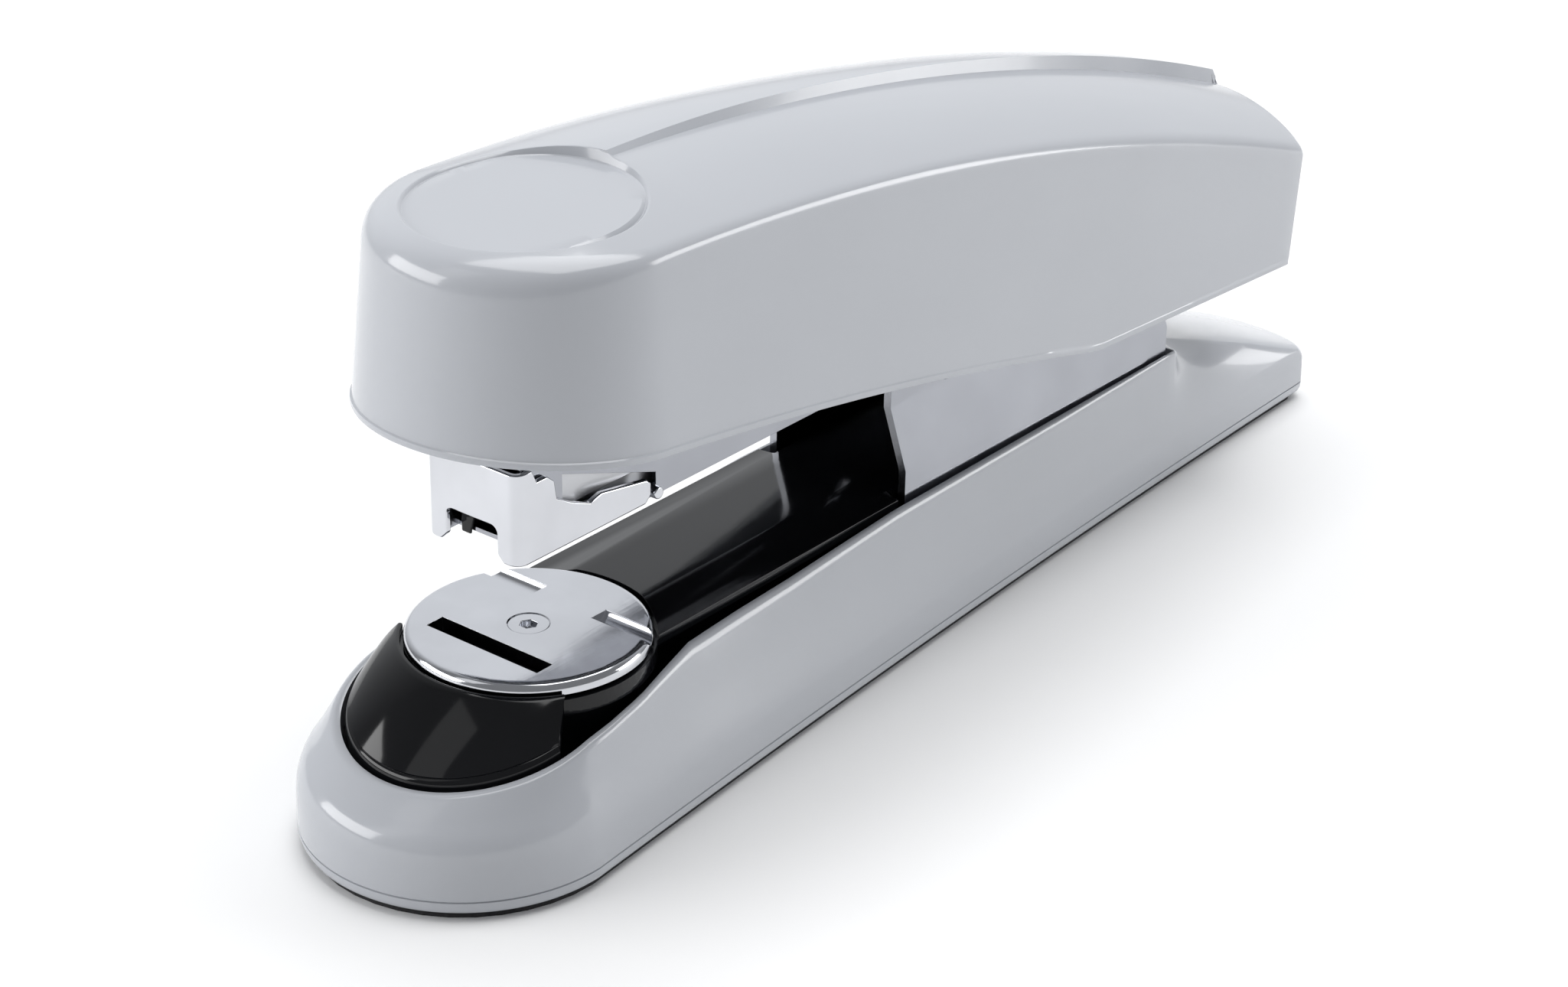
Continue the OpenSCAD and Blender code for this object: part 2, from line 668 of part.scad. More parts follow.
cover_stations = concat([for (i = [1:12]) i / 12.5], [for (i = [0:14]) 1 + i / 14], [2.2, 2.45, 2.7, 2.9]);

module cover_skin(in, drop) {
    skin([for (t = cover_stations) cover_ring(t, in, drop)]);
}

module top_cover() {
    color(light) at_disc() difference() {
        union() {
            difference() {
                cover_skin(0, 0);
                cover_skin(cover_wall, 30);
            }
            for (y = boss_ys)
                translate([0, y, lever_z(y) + 0.4])
                    cylinder(h = crown_z(y) - lever_z(y) - 1.7, r = boss_r);
        }
        translate([0, pad_y, pad_z]) cylinder(h = cut, r = pad_r);
        for (y = boss_ys)
            translate([0, y, lever_z(y)]) cylinder(h = 5, r = thread_r);
    }
}

// Top of the lever frame's web
function lever_z(y) = lerp(lever_line[0], lever_line[1], (y - blade_y) / (reach - 4 - blade_y));

// Steel frame in the cover: turns on the hinge pin and carries the driver
module lever_frame() {
    s = frame_sheet;
    front = blade_y + blade_t;
    y2 = reach - 4;
    color(steel) at_disc() difference() {
        union() {
            for (side = [-1, 1])
                translate([side * (lever_in + s / 2), 0, 0]) {
                    side_prism([
                        [front, lever_z(front)], [front, lever_z(front) - 8], [30, lever_z(30) - 9],
                        [reach - 20, lever_z(reach - 20) - 8], [reach - 6, hinge_z], [reach + 6, hinge_z],
                        [y2 + 7, lever_z(y2) - 3], [y2, lever_z(y2)]
                    ], s);
                    cross_pin(reach, hinge_z, 6, s);
                }
            side_prism([[front, lever_z(front)], [front, lever_z(front) - s],
                [y2, lever_z(y2) - s], [y2, lever_z(y2)]], 2 * lever_in);
            side_prism([[front, lever_z(front)], [front, lever_z(front) - 7.5],
                [front + s, lever_z(front) - 7.5],
                [front + s, lever_z(front)]], 2 * lever_in);
        }
        cross_pin(reach, hinge_z, pin_d / 2 + pin_gap, cut);
        for (x = driver_rivet_xs)
            translate([x, 0, lever_z(front) - 4.5]) rotate([90, 0, 0]) cylinder(h = 30, r = 1, center = true);
        for (y = boss_ys)
            translate([0, y, 0]) cylinder(h = cut, r = thread_r + fit_gap);
    }
}

module driver_blade() {
    front = blade_y + blade_t;
    low = mag_top;
    color(steel) at_disc() difference() {
        translate([-mag_half + mag_sheet + 0.15, blade_y, low])
            cube([2 * (mag_half - mag_sheet - 0.15), blade_t, lever_z(front) - 1.5 - low]);
        for (x = driver_rivet_xs)
            translate([x, 0, lever_z(front) - 4.5]) rotate([90, 0, 0]) cylinder(h = 30, r = 1, center = true);
    }
}

module driver_rivets() {
    front = blade_y + blade_t;
    color(steel) at_disc() for (x = driver_rivet_xs)
        translate([x, blade_y, lever_z(front) - 4.5]) rotate([-90, 0, 0]) {
            cylinder(h = blade_t + frame_sheet, r = 1);
            translate([0, 0, -0.6]) cylinder(h = 0.6, r = 1.7);
            translate([0, 0, blade_t + frame_sheet]) cylinder(h = 0.6, r = 1.7);
        }
}

module lever_spring() {
    low = mag_top + mag_sheet;
    color(steel) at_disc() translate([0, bridge_y, low])
        coil(3.4, 0.5, lever_z(bridge_y + 4) - frame_sheet - 0.1 - low, 5);
}

module cover_screws() {
    color(steel) at_disc() for (y = boss_ys)
        translate([0, y, lever_z(y) - frame_sheet]) {
            translate([0, 0, -1.7]) cylinder(h = 1.3, r = thread_r + 1.4);
            translate([0, 0, -1.7]) cylinder(h = 6, r = thread_r);
        }
}

base_shell();
base_plate();
base_sole();
base_screws();
lower_frame();
frame_rivets();
hinge_pin();
hinge_clips();
arm_pin();
clincher();
arm_spring();
head_spring();
anvil_arm();
anvil_collar();
disc_screw();
disc_washer();
anvil_disc();
magazine_channel();
nose_plate();
staple_guide();
staple_rail();
pusher_rod();
pusher_spring();
nose_pin();
staple_pusher();
top_cover();
lever_frame();
driver_blade();
driver_rivets();
lever_spring();
cover_screws();
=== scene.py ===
"""Builds the looks of a flat-clinch desk stapler round its packed mechanical model."""

import json
import math

import bmesh
import bpy
from bpy.props import FloatProperty, FloatVectorProperty, PointerProperty
from mathutils import Matrix, Vector


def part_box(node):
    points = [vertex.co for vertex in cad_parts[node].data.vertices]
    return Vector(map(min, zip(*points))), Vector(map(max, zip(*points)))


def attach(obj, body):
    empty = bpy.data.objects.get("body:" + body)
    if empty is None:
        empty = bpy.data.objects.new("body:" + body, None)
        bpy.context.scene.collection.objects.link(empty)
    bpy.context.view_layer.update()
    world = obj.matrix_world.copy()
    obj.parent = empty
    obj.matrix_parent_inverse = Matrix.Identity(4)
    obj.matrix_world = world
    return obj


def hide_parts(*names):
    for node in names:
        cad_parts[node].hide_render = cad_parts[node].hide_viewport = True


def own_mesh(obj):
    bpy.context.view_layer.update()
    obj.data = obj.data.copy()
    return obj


bl_info = {
    "name": "Desk Stapler",
    "version": (1, 0, 0),
    "blender": (4, 5, 0),
    "location": "View3D > Sidebar > Stapler",
    "description": "Builds a flat-clinch desk stapler round its mechanical model",
    "category": "Add Mesh",
}

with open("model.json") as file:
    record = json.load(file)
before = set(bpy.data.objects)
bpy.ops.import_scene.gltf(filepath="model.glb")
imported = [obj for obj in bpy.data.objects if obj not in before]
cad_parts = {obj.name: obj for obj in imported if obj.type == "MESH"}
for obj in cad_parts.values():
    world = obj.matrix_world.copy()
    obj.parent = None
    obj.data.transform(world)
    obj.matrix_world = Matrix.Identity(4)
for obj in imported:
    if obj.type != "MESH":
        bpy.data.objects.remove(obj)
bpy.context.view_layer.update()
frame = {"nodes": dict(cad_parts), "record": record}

MM = 0.001
DISC_LOW, DISC_HIGH = (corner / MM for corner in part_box("anvil_disc"))
BASE_LOW, BASE_HIGH = (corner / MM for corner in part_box("base_shell"))
COVER_LOW, COVER_HIGH = (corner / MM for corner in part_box("top_cover"))
FRAME_LOW, FRAME_HIGH = (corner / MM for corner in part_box("lower_frame"))
PIN_LOW, PIN_HIGH = (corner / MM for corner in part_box("hinge_pin"))

# Every shape below is worked out in millimetres, with y = 0 at the centre of the anvil disc.
DISC_Y = (DISC_LOW.y + DISC_HIGH.y) / 2
DISC_R = DISC_HIGH.x
DISC_TOP = DISC_HIGH.z
REACH = (PIN_LOW.y + PIN_HIGH.y) / 2 - DISC_Y

# Folds sharper than these stay as edges when a piece is shaded smooth (degrees).
SMOOTH_ANGLE = 30
COLLAR_SMOOTH_ANGLE = 40

# The base's recess has a round front: its centre, and the rim's height at the nose and at the sides.
RECESS_Y = -8.6
RECESS_NOSE_Z = 13.7
RECESS_SIDE_Z = 17.9


# ---------- number helpers ----------


def mix(a, b, t):
    return a + (b - a) * t


def ease(low, high, value):
    """0 below low, 1 above high and a smooth rise between them."""
    t = min(max((value - low) / (high - low), 0.0), 1.0)
    return t * t * (3 - 2 * t)


def steps(start, stop, count):
    """count + 1 evenly spaced values from start to stop."""
    return [mix(start, stop, i / count) for i in range(count + 1)]


def table(value, pairs):
    """Straight-line value between pairs of (place, value)."""
    if value <= pairs[0][0]:
        return pairs[0][1]
    for (a, va), (b, vb) in zip(pairs, pairs[1:]):
        if value <= b:
            return mix(va, vb, (value - a) / (b - a))
    return pairs[-1][1]


def half_outline(t, radius, centre, tail_half, tail_y, bulge):
    """Right half of a long body's outline.

    t runs 0..1 round the nose, 1..2 along the side and 2..3 over the tail.
    """
    if t <= 1:
        angle = math.radians(90 * t)
        return Vector((radius * math.sin(angle), centre - radius * math.cos(angle)))
    if t <= 2:
        return Vector((mix(radius, tail_half, t - 1), mix(centre, tail_y - bulge, t - 1)))
    angle = math.radians(90 * (t - 2))
    return Vector((tail_half * math.cos(angle), tail_y - bulge + bulge * math.sin(angle)))


def arc_between(start, corner, end, count):
    """Points of a soft corner from start to end, pulled towards corner; the ends are left in."""
    points = []
    for s in steps(0, 1, count):
        points.append(start * (1 - s) ** 2 + corner * 2 * s * (1 - s) + end * s**2)
    return points


# ---------- mesh helpers ----------


MERGE_MM = 0.002  # points closer than this become one, in a mesh in millimetres
MERGE_M = 1e-6  # the same in a mesh in metres
FLAT_ANGLE = 1.0  # faces closer to flat than this are joined (degrees)


def finish_mesh(name, bm, body, material, replaced=(), smooth_angle=None):
    """Turns a bmesh in millimetres into a piece in metres that rides on a body."""
    bmesh.ops.remove_doubles(bm, verts=bm.verts, dist=MERGE_MM)
    bmesh.ops.recalc_face_normals(bm, faces=bm.faces)
    mesh = bpy.data.meshes.new(name)
    bm.to_mesh(mesh)
    bm.free()
    mesh.transform(Matrix.Scale(MM, 4) @ Matrix.Translation((0, DISC_Y, 0)))
    piece = bpy.data.objects.new(name, mesh)
    bpy.context.scene.collection.objects.link(piece)
    return settle(piece, body, material, replaced, smooth_angle)


def settle(piece, body, material, replaced=(), smooth_angle=None):
    """Shades a piece, gives it its material, and ties it to its body."""
    piece.data.shade_smooth()
    if smooth_angle is not None:
        piece.data.set_sharp_from_angle(angle=math.radians(smooth_angle))
    piece.data.materials.clear()
    piece.data.materials.append(material)
    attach(piece, body)
    if replaced:
        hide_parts(*replaced)
    return piece


def add_loops(bm, loops, closed=True):
    """Joins loops of points, each with the same count, with four-sided faces."""
    rows = [[bm.verts.new(p) for p in loop] for loop in loops]
    count = len(rows[0])
    for low, high in zip(rows, rows[1:]):
        for i in range(count if closed else count - 1):
            j = (i + 1) % count
            bm.faces.new((low[i], low[j], high[j], high[i]))
    return rows


def both_sides(ts, point):
    """Closed loop of point(t, side): the right side from nose to tail, then the left one back."""
    right = [point(t, 1) for t in ts]
    left = [point(t, -1) for t in reversed(ts[1:-1])]
    return right + left


def softened_copy(node, width, segments=2, angle=32):
    """Copy of a CAD node's mesh, with its flat faces joined and its edges rounded by width (mm)."""
    source = frame["nodes"][node]
    mesh = source.data.copy()
    bm = bmesh.new()
    bm.from_mesh(mesh)
    bmesh.ops.remove_doubles(bm, verts=bm.verts, dist=MERGE_M)
    bmesh.ops.dissolve_limit(
        bm, angle_limit=math.radians(FLAT_ANGLE), verts=bm.verts, edges=bm.edges, delimit={"NORMAL"}
    )
    bm.to_mesh(mesh)
    bm.free()
    mesh.name = node + "_soft"
    piece = bpy.data.objects.new(node + "_soft", mesh)
    bpy.context.scene.collection.objects.link(piece)
    bevel = piece.modifiers.new("edge_round", "BEVEL")
    bevel.width = width * MM
    bevel.segments = segments
    bevel.limit_method = "ANGLE"
    bevel.angle_limit = math.radians(angle)
    bevel.harden_normals = True
    bevel.use_clamp_overlap = True
    even = piece.modifiers.new("flat_faces", "WEIGHTED_NORMAL")
    even.keep_sharp = True
    return piece


# ---------- materials ----------


class Recipe:
    """A node material with a principled shader and object-space texture coordinates."""

    def __init__(self, name):
        self.material = bpy.data.materials.new(name)
        self.material.use_nodes = True
        self.tree = self.material.node_tree
        self.shader = self.tree.nodes["Principled BSDF"]
        self.coordinates = self.add("ShaderNodeTexCoord")

    def add(self, kind, **settings):
        node = self.tree.nodes.new(kind)
        for key, value in settings.items():
            setattr(node, key, value)
        return node

    def link(self, source, target):
        self.tree.links.new(source, target)

    def set(self, **values):
        """Sets constants on the shader's own sockets; underscores stand for spaces."""
        for key, value in values.items():
            self.shader.inputs[key.replace("_", " ")].default_value = value
        return self

    def noise(self, scale, detail=3.0, roughness=0.55, stretch=None):
        """Noise of a scale in features per metre, stretched along an axis if asked."""
        texture = self.add("ShaderNodeTexNoise")
        texture.inputs["Scale"].default_value = scale
        texture.inputs["Detail"].default_value = detail
        texture.inputs["Roughness"].default_value = roughness
        if stretch:
            mapping = self.add("ShaderNodeMapping")
            mapping.inputs["Scale"].default_value = stretch
            self.link(self.coordinates.outputs["Object"], mapping.inputs["Vector"])
            self.link(mapping.outputs["Vector"], texture.inputs["Vector"])
        else:
            self.link(self.coordinates.outputs["Object"], texture.inputs["Vector"])
        return texture.outputs["Fac"]

    def spread(self, source, low, high, start=0.3, stop=0.7):
        """Maps a texture's middle range to the range low..high."""
        node = self.add("ShaderNodeMapRange")
        node.inputs["From Min"].default_value = start
        node.inputs["From Max"].default_value = stop
        node.inputs["To Min"].default_value = low
        node.inputs["To Max"].default_value = high
        self.link(source, node.inputs["Value"])
        return node.outputs["Result"]

    def tint(self, source, dark, light):
        """Colour that varies with a texture between two close shades."""
        ramp = self.add("ShaderNodeValToRGB")
        ramp.color_ramp.elements[0].color = (*dark, 1)
        ramp.color_ramp.elements[0].position = 0.3
        ramp.color_ramp.elements[1].color = (*light, 1)
        ramp.color_ramp.elements[1].position = 0.7
        self.link(source, ramp.inputs["Fac"])
        self.link(ramp.outputs["Color"], self.shader.inputs["Base Color"])

    def bump(self, source, strength, distance):
        node = self.add("ShaderNodeBump")
        node.inputs["Strength"].default_value = strength
        node.inputs["Distance"].default_value = distance
        self.link(source, node.inputs["Height"])
        self.link(node.outputs["Normal"], self.shader.inputs["Normal"])

    def rough(self, source, low, high):
        self.link(self.spread(source, low, high), self.shader.inputs["Roughness"])


def shade(color, factor):
    return tuple(min(channel * factor, 1.0) for channel in color[:3])


def once(build):
    """Keeps one copy of each material, made when it is first asked for."""

    def wrapper():
        name = build.__name__
        return bpy.data.materials.get(name) or build(name)

    return wrapper


@once
def shell_plastic(name):
    """Glossy light grey moulding: a faint waviness, and fine handling haze in the gloss."""
    finish = bpy.context.scene.stapler_finish
    recipe = Recipe(name)
    recipe.tint(recipe.noise(26, 2), shade(finish.shell_color, 0.985), shade(finish.shell_color, 1.015))
    recipe.rough(recipe.noise(55, 4), finish.shell_gloss * 0.8, finish.shell_gloss * 1.25)
    recipe.bump(recipe.noise(420, 2), 0.05, 0.00004)
    return recipe.set(IOR=1.5, Coat_Weight=0.25, Coat_Roughness=0.04).material


@once
def black_plastic(name):
    """Glossy black moulding with slight flow marks and dust-fine haze."""
    finish = bpy.context.scene.stapler_finish
    recipe = Recipe(name)
    recipe.tint(recipe.noise(60, 3), shade(finish.black_color, 0.8), shade(finish.black_color, 1.25))
    recipe.rough(recipe.noise(90, 5), 0.06, 0.12)
    recipe.bump(recipe.noise(300, 2), 0.05, 0.00004)
    return recipe.set(IOR=1.38, Coat_Weight=0.05, Coat_Roughness=0.03).material


def plating(name, color, low, high):
    """Nickel plating over rolled sheet: soft mottling, and fine scratches along the sheet."""
    recipe = Recipe(name)
    recipe.tint(recipe.noise(120, 4), shade(color, 0.95), shade(color, 1.04))
    recipe.rough(recipe.noise(240, 6, 0.65), low, high)
    height = recipe.add("ShaderNodeMath", operation="ADD")
    recipe.link(recipe.noise(180, 2), height.inputs[0])
    recipe.link(recipe.spread(recipe.noise(2600, 2, 0.5, (1, 0.06, 1)), 0, 0.25), height.inputs[1])
    recipe.bump(height.outputs[0], 0.10, 0.00005)
    return recipe.set(Metallic=1.0).material


@once
def bright_plating(name):
    """Polished plating of the disc, its screw, the nose plate and its pin."""
    return plating(name, bpy.context.scene.stapler_finish.plating_color, 0.07, 0.16)


@once
def sheet_plating(name):
    """Plating of the bent sheet parts, darkened as painted shade, and slightly softer."""
    return plating(name, bpy.context.scene.stapler_finish.sheet_color, 0.12, 0.24)


@once
def plain_steel(name):
    """Zinc-plated steel with a rolled grain along the stapler."""
    finish = bpy.context.scene.stapler_finish
    recipe = Recipe(name)
    grain = recipe.noise(1500, 5, 0.6, (1, 0.05, 1))
    recipe.tint(grain, shade(finish.steel_color, 0.85), shade(finish.steel_color, 1.1))
    recipe.rough(grain, 0.24, 0.42)
    recipe.bump(grain, 0.15, 0.00003)
    return recipe.set(Metallic=1.0).material


@once
def ground_steel(name):
    """Hardened clincher steel with a coarse ground grain."""
    finish = bpy.context.scene.stapler_finish
    recipe = Recipe(name)
    grain = recipe.noise(2400, 6, 0.75)
    recipe.tint(grain, shade(finish.steel_color, 0.35), shade(finish.steel_color, 1.2))
    recipe.rough(grain, 0.3, 0.6)
    recipe.bump(grain, 0.8, 0.0003)
    return recipe.set(Metallic=1.0).material


@once
def spring_wire(name):
    """Drawn spring wire with a darker, lightly streaked skin."""
    finish = bpy.context.scene.stapler_finish
    recipe = Recipe(name)
    streak = recipe.noise(900, 4, 0.6)
    recipe.tint(streak, shade(finish.steel_color, 0.6), shade(finish.steel_color, 0.85))
    recipe.rough(streak, 0.22, 0.36)
    recipe.bump(streak, 0.1, 0.00002)
    return recipe.set(Metallic=1.0).material


@once
def sole_rubber(name):
    """Matt black rubber with a fine moulded grain."""
    recipe = Recipe(name)
    grain = recipe.noise(1800, 4, 0.6)
    recipe.tint(grain, (0.012, 0.012, 0.013), (0.03, 0.03, 0.032))
    recipe.rough(grain, 0.7, 0.9)
    recipe.bump(grain, 0.35, 0.00008)
    return recipe.set(Specular_IOR_Level=0.35).material


MATERIAL_OF_SLOT = {
    "shell_grey": shell_plastic,
    "black_gloss": black_plastic,
    "sole": sole_rubber,
    "chrome": bright_plating,
    "plain_steel": plain_steel,
    "spring_steel": spring_wire,
}
SLOT_OF_NODE = {part["node"]: part["material_slot"] for part in frame["record"]["subparts"]}
BODY_OF_NODE = {
    node: body for body, nodes in frame["record"]["behaviour"]["bodies"].items() for node in nodes
}


# ---------- sizes ----------


def size(name, description, default):
    """A length that the sidebar shows; its default is given in millimetres."""
    return FloatProperty(
        name=name, description=description, default=default * MM, min=0.0, subtype="DISTANCE", unit="LENGTH"
    )


def colour(name, description, default):
    return FloatVectorProperty(
        name=name, description=description, default=default, size=3, min=0.0, max=1.0, subtype="COLOR"
    )


def strength(name, description, default):
    return FloatProperty(name=name, description=description, default=default, min=0)


class STAPLER_PG_cover(bpy.types.PropertyGroup):
    """Sizes of the top cover."""

    wall: size("Wall", "Thickness of the cover's wall", 2.0)
    draft: size("Draft", "How much narrower the cover is at its top edge", 1.5)
    tail_half: size("Tail half width", "Half the width of the cover's tail at its lower edge", 19.5)
    tail_bulge: size("Tail bulge", "How far the tail's edge bulges past its corners", 3.7)
    edge_nose: size("Nose edge", "Rounding of the top edge at the nose", 3.4)
    edge_side: size("Side edge", "Rounding of the top edge along the sides", 1.3)
    pad_radius: size("Pad radius", "Radius of the round thumb pad", 14.0)
    ridge: size("Ridge", "Height of the step along the crown at mid length", 1.2)
    rim: size("Rim height", "Height of the fine rim along the lower edge", 0.9)


class STAPLER_PG_base(bpy.types.PropertyGroup):
    """Sizes of the base shell."""

    wall: size("Wall", "Thickness of the base shell's wall at the nose", 2.2)
    tail_half: size("Tail half width", "Half the width of the base at its tail", 12.3)
    tail_bulge: size("Tail bulge", "How far the tail's edge bulges past its corners", 4.5)
    waist: size("Waist", "How far the sides draw in between nose and tail", 1.3)
    side_top: size("Side height", "Height of the crease between side and slope, at the nose", 10.0)
    side_rear: size("Rear side height", "Height of that crease along the sides", 8.3)
    seam: size("Seam height", "Height of the fine moulding seam round the side", 2.8)


class STAPLER_PG_finish(bpy.types.PropertyGroup):
    """Colours and gloss of the stapler's materials."""

    shell_color: colour("Shell", "Colour of the cover and the base", (0.44, 0.455, 0.487))
    black_color: colour("Black", "Colour of the black mouldings", (0.004, 0.0042, 0.0052))
    plating_color: colour("Plating", "Colour of the bright plating", (0.62, 0.63, 0.66))
    # A darker copy of the plating colour, for the frame and magazine: painted shade.
    sheet_color: colour("Sheet", "Colour of the plated frame and magazine", (0.36, 0.37, 0.40))
    steel_color: colour("Steel", "Colour of the plain steel", (0.52, 0.53, 0.55))
    shell_gloss: FloatProperty(
        name="Shell roughness",
        description="Roughness of the light grey plastic",
        default=0.16,
        min=0,
        max=1,
    )


class STAPLER_PG_stage(bpy.types.PropertyGroup):
    """Light and floor."""

    floor_color: colour("Floor", "Colour of the floor", (0.90, 0.90, 0.90))
    sky: strength("Sky", "Strength of the studio's walls", 1.0)
    top_light: strength("Top light", "Power of the overhead soft light", 16.5)
    front_light: strength("Front light", "Power of the front soft light", 0.35)
    left_light: strength("Left light", "Power of the left soft light", 7.2)
    side_light: strength("Side light", "Power of the rear side soft light", 4.4)


# ---------- top cover ----------


CROWN_TOP = 80.2  # highest point of the cover's crown line
CROWN_Y = 4  # where that line is highest
CROWN_CURVE = 820  # twice its radius
EDGE_DROP = 3  # the top's side edge below the crown, where that edge is highest
EDGE_Y = -15  # where the side edge is highest
EDGE_CURVE = 928  # twice its radius
HEM_DROP = 25.2  # lower edge below the crown's top, where its curve starts
HEM_NOSE = 20  # where the lower edge's curve starts, ahead of the disc's centre
HEM_SLOPE = 0.1
HEM_CURVE = 0.0007
HEM_KINK = 23  # the kink in the lower edge, ahead of the hinge pin
HEM_REAR_SLOPE = 0.065
RIDGE_SPAN = (-14, 45)  # where the crown's step rises to its full height
REAR_RIDGE = 0.9  # what the step gains towards the tail
REAR_RIDGE_SPAN = (40, 150)
RIDGE_STEP = 0.35  # half the width of the step
TAIL_LEAN = 4.3  # how far the tail's upper edge reaches past its lower one
HIGH_SHIFT = 1  # the upper outline's nose centre, behind the lower one's
PAD_Y = 0.7  # centre of the thumb pad
PAD_FLOOR = 78.4  # height of the pad's floor at its centre
PAD_SLOPE = 0.055
PAD_RIM = 0.5  # how far the pad's rim reaches past the pad's radius
PAD_SINK = 0.35  # least depth of the pad just inside its rim


class CoverShape:
    """Outline and height of the top cover, in millimetres."""

    def __init__(self, sizes):
        self.wall = sizes.wall / MM
        self.draft = sizes.draft / MM
        self.tail_half = sizes.tail_half / MM
        self.bulge = sizes.tail_bulge / MM
        self.ridge = sizes.ridge / MM
        self.edge_nose = sizes.edge_nose / MM
        self.edge_side = sizes.edge_side / MM
        self.radius = COVER_HIGH.x
        self.low_centre = COVER_LOW.y - DISC_Y + self.radius
        self.high_centre = self.low_centre + HIGH_SHIFT
        self.high_radius = self.radius - self.draft
        self.tail_high = COVER_HIGH.y - DISC_Y
        self.tail_low = self.tail_high - TAIL_LEAN
        self.pad_rim = sizes.pad_radius / MM + PAD_RIM

    def high(self, t, inset=0.0):
        return half_outline(
            t,
            self.high_radius - inset,
            self.high_centre,
            self.tail_half - self.draft - inset,
            self.tail_high - inset,
            self.bulge,
        )

    def low(self, t, inset=0.0):
        return half_outline(
            t,
            self.radius - inset,
            self.low_centre,
            self.tail_half - inset,
            self.tail_low - inset,
            self.bulge,
        )

    def hem(self, y):
        """Height of the lower edge: a long curve, then a gentle line behind the kink."""
        kink = REACH - HEM_KINK
        m = min(y, kink) + HEM_NOSE
        curve = CROWN_TOP - HEM_DROP - HEM_SLOPE * m - HEM_CURVE * m * m
        return curve - HEM_REAR_SLOPE * max(y - kink, 0)

    def crown(self, y):
        return CROWN_TOP - (y - CROWN_Y) ** 2 / CROWN_CURVE

    def edge(self, y):
        return CROWN_TOP - EDGE_DROP - (y - EDGE_Y) ** 2 / EDGE_CURVE

    def rise(self, x, y):
        """The far half stands higher, behind a step that starts at the pad."""
        height = self.ridge * ease(*RIDGE_SPAN, y) + REAR_RIDGE * ease(*REAR_RIDGE_SPAN, y)
        return height * min(max((RIDGE_STEP - x) / (2 * RIDGE_STEP), 0), 1)

    def top(self, x, y):
        """Height of the upper surface."""
        if y < self.high_centre:
            reach = math.hypot(x, y - self.high_centre) / self.high_radius
        else:
            along = (y - self.high_centre) / (self.tail_high - self.bulge - self.high_centre)
            reach = abs(x) / mix(self.high_radius, self.tail_half - self.draft, along)
        crown = self.crown(y)
        return crown - (crown - self.edge(y)) * min(reach * reach, 1.1) + self.rise(x, y)

    def pad(self, y):
        """Height of the thumb pad's floor."""
        return PAD_FLOOR + PAD_SLOPE * (y - PAD_Y)

    def rounding(self, t):
        return mix(self.edge_nose, self.edge_side, ease(0.35, 1.15, t))

    def stations(self):
        """Places round the half outline: nose, beside the pad, along the side, over the tail."""
        rim = self.pad_rim
        corner = self.tail_high - self.bulge
        first = math.degrees(math.acos((PAD_Y - self.high_centre) / rim))
        beside = [PAD_Y - rim * math.cos(math.radians(a)) for a in steps(first, 180, 16)[1:]]
        along = beside + steps(beside[-1], corner, 44)[1:]
        side = [1 + (y - self.high_centre) / (corner - self.high_centre) for y in along]
        tail_half = self.tail_half - self.draft
        fine = [2 + math.degrees(math.acos(x / tail_half)) / 90 for x in (1.6, 0.9, 0.5)]
        return steps(0, 1, 28) + side + steps(2, 2.93, 16)[1:] + fine + [3.0]

    def inner(self, t):
        """Where the lines across the top end: on the pad's rim, or on the crown line."""
        rim = self.pad_rim
        if t <= 1:
            angle = t * math.acos((PAD_Y - self.high_centre) / rim)
            return Vector((rim * math.sin(angle), PAD_Y - rim * math.cos(angle)))
        if t <= 2:
            y = half_outline(t, 0, self.high_centre, 0, self.tail_high, self.bulge).y
            inside = rim * rim - (y - PAD_Y) ** 2
            return Vector((math.sqrt(inside) if y < PAD_Y + rim and inside > 0 else 0, y))
        corner = self.tail_high - self.bulge
        return Vector((0, mix(corner, self.tail_high, t - 2)))


